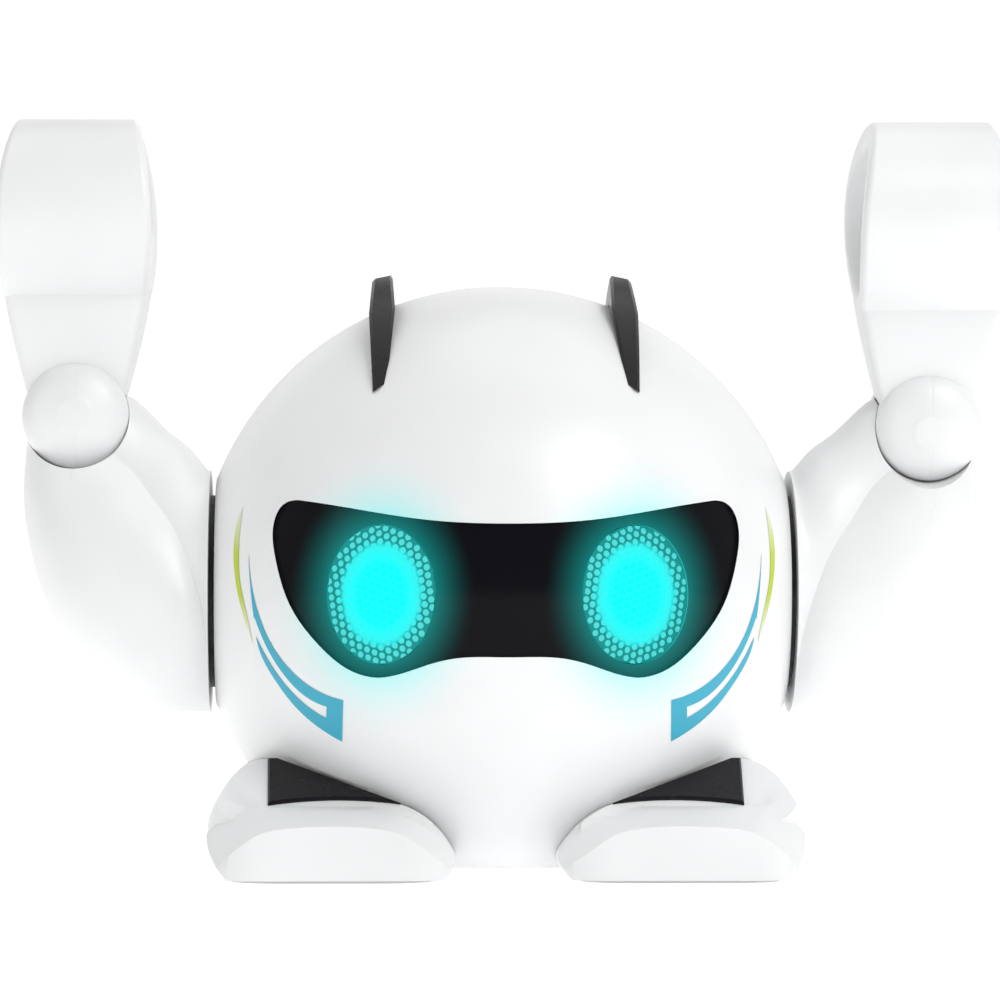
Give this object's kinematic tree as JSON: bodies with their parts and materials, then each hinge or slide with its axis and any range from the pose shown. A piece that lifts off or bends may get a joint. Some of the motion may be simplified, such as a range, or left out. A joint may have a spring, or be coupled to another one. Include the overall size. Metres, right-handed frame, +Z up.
{
  "type": "toy robot",
  "caption": "Ball-bodied toy robot with glowing eyes in a dark visor, two feet, and motor-driven swinging arms with hinged forearms and ring hands.",
  "frame": {"origin": "on the floor under the middle of the body", "axes": "+Z up, the face looks along -Y, +X is the robot's own left"},
  "size_m": [0.2028, 0.1227, 0.1531],
  "materials": {
    "white_shell": "glossy injection-moulded white",
    "white_arm": "satin-gloss injection-moulded white",
    "visor_black": "smoked gloss black",
    "eye_grille": "black, finely perforated, lit from behind",
    "eye_glow": "milky light spreader, lit cyan",
    "dark_gloss": "gloss charcoal",
    "dark_matte": "matt charcoal",
    "stripe_blue": "printed film",
    "stripe_yellow": "printed film",
    "sole_rubber": "soft pale grey rubber",
    "inner_grey": "moulded grey",
    "circuit_board": "solder-masked glass laminate",
    "led_white": "moulded LED bodies",
    "component_black": "moulded component bodies",
    "speaker_black": "paper cone and steel magnet",
    "cell_jacket": "printed cell jackets, plain",
    "contact_steel": "nickel-plated steel",
    "screw_steel": "zinc-plated steel",
    "motor_can": "drawn steel can",
    "gear_nylon": "natural nylon",
    "pinion_brass": "hobbed brass"
  },
  "bodies": {
    "body": {"front_shell": "white_shell", "rear_shell": "white_shell", "visor": "visor_black", "eye_grille_left": "eye_grille", "eye_grille_right": "eye_grille", "eye_lens_left": "eye_glow", "eye_lens_right": "eye_glow", "eye_led_board": "circuit_board", "eye_leds": "led_white", "fin_left": "dark_gloss", "fin_right": "dark_gloss", "foot_left": "white_shell", "foot_right": "white_shell", "foot_vent_left": "dark_gloss", "foot_vent_right": "dark_gloss", "sole_left": "sole_rubber", "sole_right": "sole_rubber", "side_stripe_blue": "stripe_blue", "side_stripe_yellow": "stripe_yellow", "battery_box": "inner_grey", "battery_cells": "cell_jacket", "battery_contacts": "contact_steel", "case_screws": "screw_steel", "chassis": "inner_grey", "main_board": "circuit_board", "board_components": "component_black", "speaker": "speaker_black", "power_switch": "component_black", "motor_left": "motor_can", "motor_right": "motor_can", "gearbox_plate_left": "inner_grey", "gearbox_plate_right": "inner_grey", "gearbox_cover_left": "inner_grey", "gearbox_cover_right": "inner_grey", "shoulder_bush_left": "gear_nylon", "shoulder_bush_right": "gear_nylon"},
    "battery_door": {"battery_door": "white_shell", "battery_door_screw": "screw_steel"},
    "power_switch_knob": {"power_switch_knob": "dark_matte"},
    "arm_left": {"shoulder_gear_left": "gear_nylon", "shoulder_disc_left": "dark_matte", "upper_arm_inner_left": "white_arm", "upper_arm_outer_left": "white_arm", "shoulder_screw_left": "screw_steel"},
    "forearm_left": {"forearm_inner_left": "white_arm", "forearm_outer_left": "white_arm", "elbow_pin_left": "contact_steel"},
    "idler_left": {"idler_gear_left": "gear_nylon"},
    "pinion_left": {"motor_pinion_left": "pinion_brass"},
    "arm_right": {"shoulder_gear_right": "gear_nylon", "shoulder_disc_right": "dark_matte", "upper_arm_inner_right": "white_arm", "upper_arm_outer_right": "white_arm", "shoulder_screw_right": "screw_steel"},
    "forearm_right": {"forearm_inner_right": "white_arm", "forearm_outer_right": "white_arm", "elbow_pin_right": "contact_steel"},
    "idler_right": {"idler_gear_right": "gear_nylon"},
    "pinion_right": {"motor_pinion_right": "pinion_brass"}
  },
  "joints": [
    {"name": "shoulder_left", "type": "hinge", "parent": "body", "child": "arm_left", "pos_m": [0.0588, 0, 0.057], "axis": [1, 0, 0], "continuous": true},
    {"name": "elbow_left", "type": "hinge", "parent": "arm_left", "child": "forearm_left", "pos_m": [0.086, -0.00792, 0.0913], "axis": [0, 0.9744, 0.225], "range_deg": [0, 45]},
    {"name": "idler_spin_left", "type": "hinge", "parent": "body", "child": "idler_left", "pos_m": [0.0384, 0, 0.04125], "axis": [1, 0, 0], "continuous": true},
    {"name": "pinion_spin_left", "type": "hinge", "parent": "body", "child": "pinion_left", "pos_m": [0.037, 0, 0.0261], "axis": [1, 0, 0], "continuous": true},
    {"name": "shoulder_right", "type": "hinge", "parent": "body", "child": "arm_right", "pos_m": [-0.0588, 0, 0.057], "axis": [1, 0, 0], "continuous": true},
    {"name": "elbow_right", "type": "hinge", "parent": "arm_right", "child": "forearm_right", "pos_m": [-0.086, 0, 0.0922], "axis": [0, -1, 0], "range_deg": [0, 45]},
    {"name": "idler_spin_right", "type": "hinge", "parent": "body", "child": "idler_right", "pos_m": [-0.0384, 0, 0.04125], "axis": [1, 0, 0], "continuous": true},
    {"name": "pinion_spin_right", "type": "hinge", "parent": "body", "child": "pinion_right", "pos_m": [-0.037, 0, 0.0261], "axis": [1, 0, 0], "continuous": true},
    {"name": "battery_door_release", "type": "slide", "parent": "body", "child": "battery_door", "axis": [0, 1, 0], "range_m": [0, 0.04]},
    {"name": "power_switch", "type": "slide", "parent": "body", "child": "power_switch_knob", "axis": [1, 0, 0], "range_m": [0, 0.004]}
  ],
  "couplings": [
    {"joint": "idler_spin_left", "follows": "shoulder_left", "ratio": -3.3333},
    {"joint": "pinion_spin_left", "follows": "shoulder_left", "ratio": 13.333},
    {"joint": "idler_spin_right", "follows": "shoulder_right", "ratio": -3.3333},
    {"joint": "pinion_spin_right", "follows": "shoulder_right", "ratio": 13.333}
  ]
}
